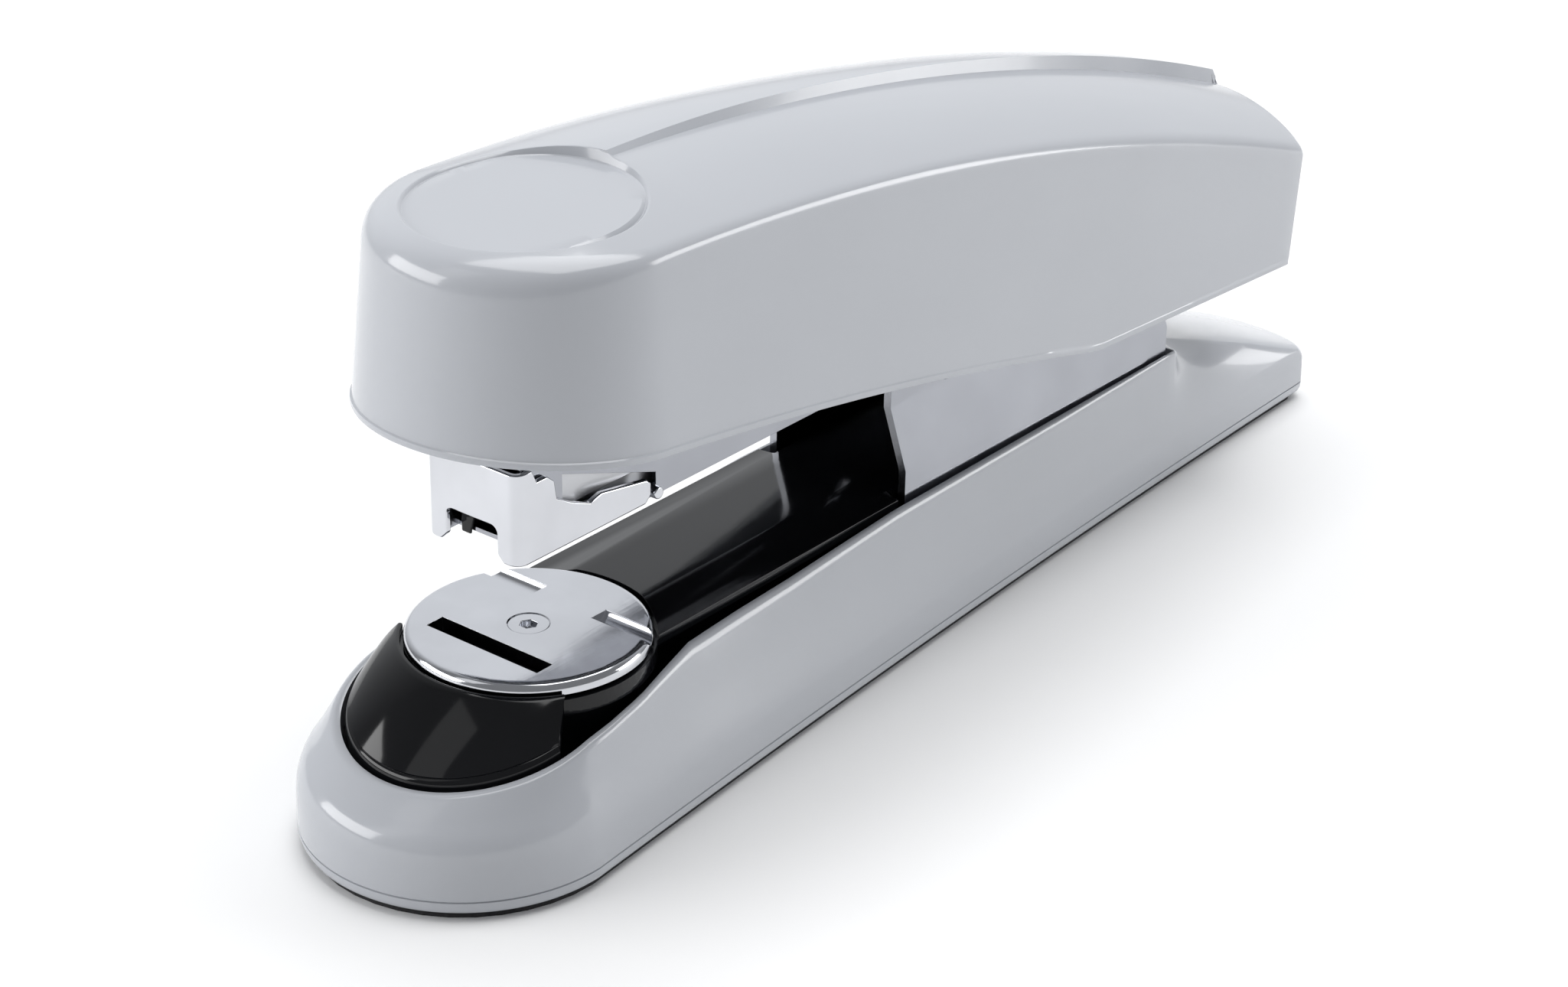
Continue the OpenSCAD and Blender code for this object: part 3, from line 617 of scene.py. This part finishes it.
def cover_roof(bm, shape, inset, drop):
    """Upper surface of the cover, shifted in and down for its inner side."""
    ts = shape.stations()
    across = [0, 0.02, 0.05, 0.1, 0.18, 0.28, 0.4, 0.52, 0.64, 0.75, 0.84, 0.91]
    rim = shape.pad_rim
    for side in (1, -1):
        lines = []
        for t in ts:
            start = shape.high(t, shape.rounding(t) + inset)
            end = shape.inner(t)
            if t > 2:
                end.y = min(end.y, start.y if t == 3 else end.y) - inset * (t - 2)
            width = (start - end).length
            if end.x == 0 and width > 2.5:
                fractions = across + [1 - 0.8 / width, 1 - 0.35 / width, 1]
            else:
                fractions = across + [0.95, 0.98, 1]
            line = []
            for f in fractions:
                p = mix(start, end, f)
                line.append((side * p.x, p.y, shape.top(side * p.x, p.y) - drop))
            lines.append(line)
        add_loops(bm, lines, closed=False)
    on_rim = [p for p in map(shape.inner, ts) if p.x > 0.001]
    angles = [math.degrees(math.atan2(p.x, PAD_Y - p.y)) for p in on_rim]
    angles = [0.0] + [a for a in angles if 0.01 < a < 179.9] + [180.0]
    rings = []
    # Each ring's radius, and its share of the way down from the roof to the pad's floor.
    for radius, blend in (
        (rim, 0.0),
        (rim - 0.12, 0.06),
        (rim - 0.3, 0.45),
        (rim - 0.45, 0.9),
        (rim - 0.6, 1.0),
        (rim - 1.0, 1.0),
        (rim * 0.8, 1.0),
        (rim * 0.5, 1.0),
        (rim * 0.2, 1.0),
    ):
        ring = []
        for angle, side in [(a, 1) for a in angles] + [(a, -1) for a in reversed(angles[1:-1])]:
            x = side * radius * math.sin(math.radians(angle))
            y = PAD_Y - radius * math.cos(math.radians(angle))
            scale = rim / radius
            outside = shape.top(x * scale, PAD_Y + (y - PAD_Y) * scale)
            beside_rim = radius > rim - 0.9
            floor = min(shape.pad(y), outside - PAD_SINK) if beside_rim else shape.pad(y)
            ring.append((x, y, mix(outside, floor, blend) - drop))
        rings.append(ring)
    rows = add_loops(bm, rings)
    bm.faces.new(rows[-1])


def cover_mesh(sizes):
    shape = CoverShape(sizes)
    ts = shape.stations()
    bm = bmesh.new()
    cover_roof(bm, shape, 0, 0)
    cover_roof(bm, shape, shape.wall, shape.wall)
    rim = sizes.rim / MM

    def profile(t, side):
        """Points of the wall at one place, from the roof's edge down and up again inside."""
        rounding = shape.rounding(t)
        high, low = shape.high(t), shape.low(t)
        corner = Vector((side * high.x, high.y, shape.top(side * high.x, high.y)))
        foot = Vector((side * low.x, low.y, shape.hem(low.y)))
        start = shape.high(t, rounding)
        on_top = Vector((side * start.x, start.y, shape.top(side * start.x, start.y)))
        down = (foot - corner).normalized()
        points = arc_between(on_top, corner, corner + down * rounding * 0.9, 7)
        wall_top = points[-1]
        rim_top = foot - down * rim
        points += [mix(wall_top, rim_top, f) for f in (0.04, 0.3, 0.6, 0.9, 0.985)]
        out = Vector((down.x, down.y, 0))
        out = out.normalized() * 0.22 if out.length > 1e-6 else out
        points += [rim_top, rim_top + out + down * 0.12, foot + out - down * 0.25, foot + out * 0.4]
        inside = shape.low(t, shape.wall * 0.8)
        points += [Vector((side * inside.x, inside.y, foot.z + 0.02))]
        deep = shape.high(t, shape.rounding(t) + shape.wall)
        roof = shape.top(side * deep.x, deep.y) - shape.wall
        near = shape.high(t, shape.wall)
        points += [Vector((side * near.x, near.y, roof - 2)), Vector((side * deep.x, deep.y, roof))]
        return points

    columns = both_sides(ts, profile)
    loops = [list(loop) for loop in zip(*columns)]
    add_loops(bm, loops)
    return bm


# ---------- base shell ----------


class BaseShape:
    """Outline and rim of the base shell, in millimetres."""

    def __init__(self, sizes):
        self.wall = sizes.wall / MM
        self.tail_half = sizes.tail_half / MM
        self.bulge = sizes.tail_bulge / MM
        self.waist = sizes.waist / MM
        self.crease = sizes.side_top / MM
        self.rear_crease = sizes.side_rear / MM
        self.seam = sizes.seam / MM
        self.radius = BASE_HIGH.x
        self.centre = BASE_LOW.y - DISC_Y + self.radius
        self.tail = BASE_HIGH.y - DISC_Y
        self.bottom = BASE_LOW.z
        self.slot_end = FRAME_HIGH.y - DISC_Y + 1.5
        self.frame_rim = FRAME_HIGH.x + 0.45
        self.rim_radius = 17.0
        self.heights = [
            (RECESS_Y, RECESS_SIDE_Z),
            (2, 19.2),
            (14, 20.4),
            (34, 20.7),
            (FRAME_LOW.y - DISC_Y - 4, 21.7),
            (self.slot_end, 21.5),
        ]
        self.widths = [
            (RECESS_Y, self.rim_radius),
            (-4, 16.9),
            (2, 16.3),
            (8, 14.9),
            (14, 13.6),
            (24, 13.1),
            (34, 12.9),
            (FRAME_LOW.y - DISC_Y - 4, 12.6),
            (self.slot_end, self.frame_rim),
        ]

    def outline(self, t, inset=0.0):
        """The outer edge.

        t runs 0..1 round the nose, 1..2 as far as the slot's end, 2..2.5 to the tail's corner,
        and 2.5..3 over the tail.
        """
        corner = self.tail - self.bulge
        neck = (self.slot_end - self.centre) / (corner - self.centre)
        s = neck * (t - 1) if t <= 2 else mix(neck, 1, 2 * (t - 2))
        place = t if t <= 1 else s + 1 if t <= 2.5 else 2 * t - 3
        p = half_outline(
            place, self.radius - inset, self.centre, self.tail_half - inset, self.tail - inset, self.bulge
        )
        if 1 < t < 2.5:
            p.x -= 4 * self.waist * s * (1 - s)
        return p

    def rim(self, t):
        """The recess's upper edge."""
        if t <= 1:
            angle = math.radians(90 * t)
            return Vector(
                (
                    self.rim_radius * math.sin(angle),
                    RECESS_Y - self.rim_radius * math.cos(angle),
                    mix(RECESS_NOSE_Z, RECESS_SIDE_Z, 1 - math.cos(angle)),
                )
            )
        if t <= 2:
            y = mix(RECESS_Y, self.slot_end, t - 1)
            return Vector((table(y, self.widths), y, table(y, self.heights)))
        return Vector((self.frame_rim * (3 - t), self.slot_end, self.heights[-1][1]))


REAR_WALL = 1.2  # wall of the base behind its nose


def base_mesh(sizes):
    shape = BaseShape(sizes)
    ts = steps(0, 1, 32) + steps(1, 2, 60)[1:] + steps(2, 2.5, 14)[1:] + steps(2.5, 3, 16)[1:]

    def at(t, inset, z, side):
        p = shape.outline(t, inset)
        return Vector((side * p.x, p.y, z))

    def profile(t, side):
        """Points of the wall at one place, from the inner foot outside and over the rim."""
        foot, seam = shape.bottom, shape.seam
        crease = mix(shape.crease, shape.rear_crease, ease(0.6, 1.4, t))
        wall = mix(shape.wall, REAR_WALL, ease(0.9, 1.9, t))
        points = [at(t, inset, z, side) for inset, z in (
            (wall, foot), (0.95, foot), (0.55, foot + 0.08), (0.25, foot + 0.35), (0.06, foot + 0.9),
            (0, seam - 0.3), (0, seam - 0.13), (0.2, seam - 0.06), (0.2, seam + 0.06), (0, seam + 0.13),
            (0, seam + 0.3),
        )]
        rim = shape.rim(t)
        rim.x *= side
        corner = at(t, 0.35, crease, side)
        shoulder = mix(corner, rim, 0.4)
        shoulder.z += 0.05 * (rim.z - crease)
        soft = mix(2.6, 1.3, ease(0.6, 1.3, t))
        start = at(t, 0.12, crease - soft, side)
        slope = (shoulder - corner).normalized()
        end = corner + slope * min(soft, (shoulder - corner).length * 0.6)
        points += arc_between(start, corner, end, 7)
        away = Vector((corner.x - rim.x, corner.y - rim.y, 0))
        lip = min(1.0, away.length / 2)
        away = away.normalized()
        crest = rim + away * lip
        points += arc_between(mix(end, shoulder, 0.8), shoulder, mix(shoulder, crest, 0.35), 4)
        points += arc_between(mix(shoulder, crest, 0.8), crest, rim + Vector((0, 0, -0.15)), 6)
        points += [rim - Vector((0, 0, 0.5)), rim - Vector((0, 0, 3.5))]
        inner = at(t, wall, crease - 2, side)
        points += [mix(rim - Vector((0, 0, 3.5)), inner, 0.6) - Vector((0, 0, 0.6)), inner]
        return points

    bm = bmesh.new()
    columns = both_sides(ts, profile)
    loops = [list(loop) for loop in zip(*columns)]
    add_loops(bm, loops + [loops[0]])
    return bm


# ---------- collar ----------


COLLAR_R = 16.4
COLLAR_TOP_TURN = 58  # how far the collar's upper edge reaches round each side (degrees)
COLLAR_RIM_TURN = 78  # the same for its lower rim


def collar_mesh():
    """Flared skirt round the front of the disc, with a thin upper edge and a rolled lower rim."""
    columns = []
    for a in steps(-1, 1, 64):
        face = math.radians(COLLAR_TOP_TURN * a)
        turn = math.radians(COLLAR_RIM_TURN * a)
        out = Vector((math.sin(face), -math.cos(face), 0))
        rim = Vector((COLLAR_R * math.sin(turn), RECESS_Y - COLLAR_R * math.cos(turn), 0))
        rim.z = mix(RECESS_NOSE_Z, RECESS_SIDE_Z, 1 - math.cos(turn))
        rim_out = (rim - Vector((0, RECESS_Y, rim.z))).normalized()
        top = out * (DISC_R + 0.9) + Vector((0, 0, DISC_TOP - 1.3))
        shoulder = mix(rim, top, 0.5) + Vector((0, 0, 1.2))
        low = rim + Vector((0, 0, 0.9))
        points = [rim - Vector((0, 0, 2.4)), rim]
        points += arc_between(rim + Vector((0, 0, 0.1)), rim + Vector((0, 0, 0.5)), low - rim_out * 0.3, 4)
        points += [low - rim_out * 0.45 + Vector((0, 0, 0.1))]
        points += arc_between(low - rim_out * 0.4 + Vector((0, 0, 0.35)), shoulder, top, 14)
        points += [
            top - out * 0.15 + Vector((0, 0, 0.05)),
            top - out * 0.45,
            top - out * 0.5 - Vector((0, 0, 0.3)),
            top - out * 0.5 - Vector((0, 0, 2.6)),
            rim - rim_out * 1.8 - Vector((0, 0, 1.2)),
            rim - rim_out * 1.8 - Vector((0, 0, 2.4)),
        ]
        columns.append(points)
    bm = bmesh.new()
    rows = add_loops(bm, columns)
    bm.faces.new(rows[0])
    bm.faces.new(rows[-1])
    return bm


# ---------- springs ----------


def coil_mesh(node, axis, wire, turns):
    """A round wire coil that fills its CAD node's box, with closed end turns."""
    low, high = (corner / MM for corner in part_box(node))
    low.y -= DISC_Y
    high.y -= DISC_Y
    middle = (low + high) / 2
    along = {"y": 1, "z": 2}[axis]
    across = [i for i in range(3) if i != along]
    radius = (high[across[0]] - low[across[0]]) / 2 - wire
    length = high[along] - low[along]
    per_turn, sides = 28, 10
    end = 1.0 / turns
    tight = wire * 2 / length
    rings = []
    for i in range(turns * per_turn + 1):
        share = i / (turns * per_turn)
        angle = 2 * math.pi * i / per_turn
        if share < end:
            rise = share * wire * 2 / end / length
        elif share > 1 - end:
            rise = 1 - (1 - share) * wire * 2 / end / length
        else:
            rise = mix(tight, 1 - tight, (share - end) / (1 - 2 * end))
        place = mix(low[along] + wire, high[along] - wire, rise)
        ring = []
        for j in range(sides):
            b = 2 * math.pi * j / sides
            point = [0.0, 0.0, 0.0]
            reach = radius + wire * math.cos(b)
            point[across[0]] = middle[across[0]] + reach * math.cos(angle)
            point[across[1]] = middle[across[1]] + reach * math.sin(angle)
            point[along] = place + wire * math.sin(b)
            ring.append(point)
        rings.append(ring)
    bm = bmesh.new()
    rows = add_loops(bm, rings)
    bm.faces.new(rows[0])
    bm.faces.new(rows[-1])
    return bm


# ---------- operators ----------


class STAPLER_OT_top_cover(bpy.types.Operator):
    """Build the top cover with its thumb pad and ridge"""

    bl_idname = "stapler.top_cover"
    bl_label = "Top cover"
    bl_options = {"REGISTER", "UNDO"}

    def execute(self, context):
        bm = cover_mesh(context.scene.stapler_cover)
        finish_mesh(
            "cover_moulding", bm, "cover", shell_plastic(), ["top_cover"], SMOOTH_ANGLE
        )
        return {"FINISHED"}


class STAPLER_OT_base_shell(bpy.types.Operator):
    """Build the base shell with its recess and seam"""

    bl_idname = "stapler.base_shell"
    bl_label = "Base shell"
    bl_options = {"REGISTER", "UNDO"}

    def execute(self, context):
        bm = base_mesh(context.scene.stapler_base)
        finish_mesh(
            "base_moulding", bm, "base", shell_plastic(), ["base_shell"], SMOOTH_ANGLE
        )
        return {"FINISHED"}


class STAPLER_OT_anvil(bpy.types.Operator):
    """Build the anvil arm, its collar, and the disc with its screw"""

    bl_idname = "stapler.anvil"
    bl_label = "Anvil"
    bl_options = {"REGISTER", "UNDO"}

    def execute(self, context):
        bm, black = collar_mesh(), black_plastic()
        finish_mesh(
            "collar_moulding", bm, "arm", black, ["anvil_collar"], COLLAR_SMOOTH_ANGLE
        )
        for node, width, body, material in (
            ("anvil_arm", 0.35, "arm", black),
            ("anvil_disc", 0.12, "disc", bright_plating()),
            ("disc_screw", 0.1, "arm", bright_plating()),
        ):
            piece = softened_copy(node, width)
            settle(piece, body, material, [node], SMOOTH_ANGLE)
        return {"FINISHED"}


class STAPLER_OT_sheet_metal(bpy.types.Operator):
    """Round the edges of the frames, the magazine, the nose plate, the guide and the pusher"""

    bl_idname = "stapler.sheet_metal"
    bl_label = "Sheet metal"
    bl_options = {"REGISTER", "UNDO"}

    def execute(self, context):
        for node, width in (
            ("lower_frame", 0.3),
            ("nose_plate", 0.2),
            ("magazine_channel", 0.12),
            ("staple_guide", 0.2),
            ("lever_frame", 0.2),
            ("nose_pin", 0.2),
            ("staple_pusher", 0.15),
        ):
            piece = softened_copy(node, width)
            bent_sheet = node in ("lower_frame", "magazine_channel")
            # The frame and magazine get the darker copy of the plating, which is painted shade.
            material = sheet_plating() if bent_sheet else MATERIAL_OF_SLOT[SLOT_OF_NODE[node]]()
            settle(piece, BODY_OF_NODE[node], material, [node], SMOOTH_ANGLE)
        return {"FINISHED"}


# Coils that a joint presses together: the joint, the axis, and how far the free end travels (m).
PRESSED_COILS = {
    "pusher_spring": ("pusher_slide", (0, 1, 0), 0.0843),
    "arm_spring": ("arm_dip", (0, 0, 1), 0.0021),
}


def press_coil(coil, node, joint, axis, travel):
    """Gives the coil a mesh of its own; the coil keeps its length and does not follow its joint."""
    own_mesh(coil)


class STAPLER_OT_springs(bpy.types.Operator):
    """Wind the four springs"""

    bl_idname = "stapler.springs"
    bl_label = "Springs"
    bl_options = {"REGISTER", "UNDO"}

    def execute(self, context):
        for node, axis, wire, turns in (
            ("arm_spring", "z", 0.5, 6),
            ("head_spring", "z", 0.4, 9),
            ("lever_spring", "z", 0.5, 5),
            ("pusher_spring", "y", 0.3, 18),
        ):
            bm = coil_mesh(node, axis, wire, turns)
            body = BODY_OF_NODE[node]
            coil = finish_mesh(node + "_coil", bm, body, spring_wire(), [node])
            if node in PRESSED_COILS:
                press_coil(coil, node, *PRESSED_COILS[node])
        return {"FINISHED"}


class STAPLER_OT_plain_parts(bpy.types.Operator):
    """Give every part that keeps its mechanical shape its finish"""

    bl_idname = "stapler.plain_parts"
    bl_label = "Plain parts"
    bl_options = {"REGISTER", "UNDO"}

    def execute(self, context):
        for node, piece in frame["nodes"].items():
            if piece.hide_render:
                continue
            build = ground_steel if node == "clincher" else MATERIAL_OF_SLOT[SLOT_OF_NODE[node]]
            material = build()
            for entry in piece.material_slots:
                entry.material = material
        return {"FINISHED"}


# Each soft light's name, place and extent (m).
SOFT_LIGHTS = (
    ("top_light", (0.0, 0.25, 1.4), (1.2, 1.2)),
    ("left_light", (-0.72, -0.84, 0.36), (0.9, 0.5)),
    ("front_light", (-0.27, -0.72, 0.75), (0.35, 0.5)),
    ("side_light", (0.76, 0.85, 0.23), (0.60, 0.42)),
)
LIGHT_TARGET = (0.0, 0.0, 0.04)


class STAPLER_OT_stage(bpy.types.Operator):
    """Set the floor, the lights and the camera"""

    bl_idname = "stapler.stage"
    bl_label = "Stage"
    bl_options = {"REGISTER", "UNDO"}

    def execute(self, context):
        stage = context.scene.stapler_stage
        add_floor(stage)
        add_sky(stage)
        for name, place, extent in SOFT_LIGHTS:
            add_soft_light(name, getattr(stage, name), place, extent)
        add_camera()
        context.scene.view_settings.view_transform = "Standard"
        return {"FINISHED"}


def add_floor(stage):
    bm = bmesh.new()
    bmesh.ops.create_grid(bm, x_segments=8, y_segments=8, size=3.0)
    mesh = bpy.data.meshes.new("floor")
    bm.to_mesh(mesh)
    bm.free()
    floor = bpy.data.objects.new("floor", mesh)
    bpy.context.scene.collection.objects.link(floor)
    recipe = Recipe("floor_paper")
    recipe.tint(recipe.noise(4, 2), shade(stage.floor_color, 0.99), stage.floor_color[:])
    recipe.rough(recipe.noise(20, 3), 0.55, 0.7)
    mesh.materials.append(recipe.material)


GLOW_DIRECTION = (-0.567, 0.676, 0.47)
GLOW_SPAN = (0.5, 0.95)  # cosine of the angle to that direction, where the glow starts and is full
WALL_STRENGTH = 0.26
GLOW_STRENGTH = 0.95
WALL_COLOR = (0.95, 0.97, 1.0, 1)


def add_sky(stage):
    """Soft studio walls with one brighter area behind the stapler to the left."""
    world = bpy.data.worlds.new("studio")
    world.use_nodes = True
    tree = world.node_tree
    place = tree.nodes.new("ShaderNodeTexCoord")
    facing = tree.nodes.new("ShaderNodeVectorMath")
    facing.operation = "DOT_PRODUCT"
    facing.inputs[1].default_value = GLOW_DIRECTION
    ramp = tree.nodes.new("ShaderNodeMapRange")
    ramp.inputs["From Min"].default_value = GLOW_SPAN[0]
    ramp.inputs["From Max"].default_value = GLOW_SPAN[1]
    ramp.inputs["To Min"].default_value = WALL_STRENGTH * stage.sky
    ramp.inputs["To Max"].default_value = GLOW_STRENGTH * stage.sky
    background = tree.nodes["Background"]
    background.inputs["Color"].default_value = WALL_COLOR
    tree.links.new(place.outputs["Generated"], facing.inputs[0])
    tree.links.new(facing.outputs["Value"], ramp.inputs["Value"])
    tree.links.new(ramp.outputs["Result"], background.inputs["Strength"])
    bpy.context.scene.world = world


def add_soft_light(name, power, place, extent):
    """Rectangular light of a power in watts that faces the stapler."""
    data = bpy.data.lights.new(name, "AREA")
    data.shape = "RECTANGLE"
    data.size, data.size_y = extent
    data.energy = power
    light = bpy.data.objects.new(name, data)
    light.location = place
    facing = Vector(LIGHT_TARGET) - Vector(place)
    light.rotation_euler = facing.to_track_quat("-Z", "Y").to_euler()
    bpy.context.scene.collection.objects.link(light)


# The camera's place (m), its turns (radians), its lens and its sensor (mm).
CAMERA_PLACE = (0.236942, -0.319224, 0.212609)
CAMERA_TURNS = (0.668674, 0.460932, 0.018631)
CAMERA_LENS = 73.79
CAMERA_SENSOR = 36.0


def add_camera():
    """Long lens from the front right, a little above the stapler."""
    yaw, pitch, roll = CAMERA_TURNS
    level = math.cos(pitch)
    forward = Vector((-math.sin(yaw) * level, math.cos(yaw) * level, -math.sin(pitch)))
    right = Vector((math.cos(yaw), math.sin(yaw), 0))
    up = right.cross(forward)
    turned_right = math.cos(roll) * right + math.sin(roll) * up
    turned_up = -math.sin(roll) * right + math.cos(roll) * up
    data = bpy.data.cameras.new("camera")
    data.sensor_width = CAMERA_SENSOR
    data.lens = CAMERA_LENS
    data.clip_start = 0.01
    camera = bpy.data.objects.new("camera", data)
    turn = Matrix((turned_right, turned_up, -forward)).transposed().to_4x4()
    camera.matrix_world = Matrix.Translation(CAMERA_PLACE) @ turn
    bpy.context.scene.collection.objects.link(camera)
    bpy.context.scene.camera = camera


# ---------- panel ----------


class STAPLER_PT_build(bpy.types.Panel):
    """Lists the stapler's sizes, finishes and build steps"""

    bl_idname = "STAPLER_PT_build"
    bl_label = "Stapler"
    bl_space_type = "VIEW_3D"
    bl_region_type = "UI"
    bl_category = "Stapler"

    def draw(self, context):
        for title, group, operators in (
            ("Cover", context.scene.stapler_cover, ("stapler.top_cover",)),
            ("Base", context.scene.stapler_base, ("stapler.base_shell",)),
            ("Finish", context.scene.stapler_finish, BUILD_STEPS[2:6]),
            ("Stage", context.scene.stapler_stage, ("stapler.stage",)),
        ):
            box = self.layout.box()
            box.label(text=title)
            for name in group.__annotations__:
                box.prop(group, name)
            for operator in operators:
                box.operator(operator)


BUILD_STEPS = (
    "stapler.top_cover",
    "stapler.base_shell",
    "stapler.anvil",
    "stapler.sheet_metal",
    "stapler.springs",
    "stapler.plain_parts",
    "stapler.stage",
)
GROUPS = {
    "stapler_cover": STAPLER_PG_cover,
    "stapler_base": STAPLER_PG_base,
    "stapler_finish": STAPLER_PG_finish,
    "stapler_stage": STAPLER_PG_stage,
}
CLASSES = (
    *GROUPS.values(),
    STAPLER_OT_top_cover,
    STAPLER_OT_base_shell,
    STAPLER_OT_anvil,
    STAPLER_OT_sheet_metal,
    STAPLER_OT_springs,
    STAPLER_OT_plain_parts,
    STAPLER_OT_stage,
    STAPLER_PT_build,
)


def register():
    for cls in CLASSES:
        bpy.utils.register_class(cls)
    for name, group in GROUPS.items():
        setattr(bpy.types.Scene, name, PointerProperty(type=group))


def unregister():
    for name in GROUPS:
        delattr(bpy.types.Scene, name)
    for cls in reversed(CLASSES):
        bpy.utils.unregister_class(cls)


def main():
    register()
    for step in BUILD_STEPS:
        name = step.split(".")[1]
        getattr(bpy.ops.stapler, name)()


if __name__ == "__main__":
    main()
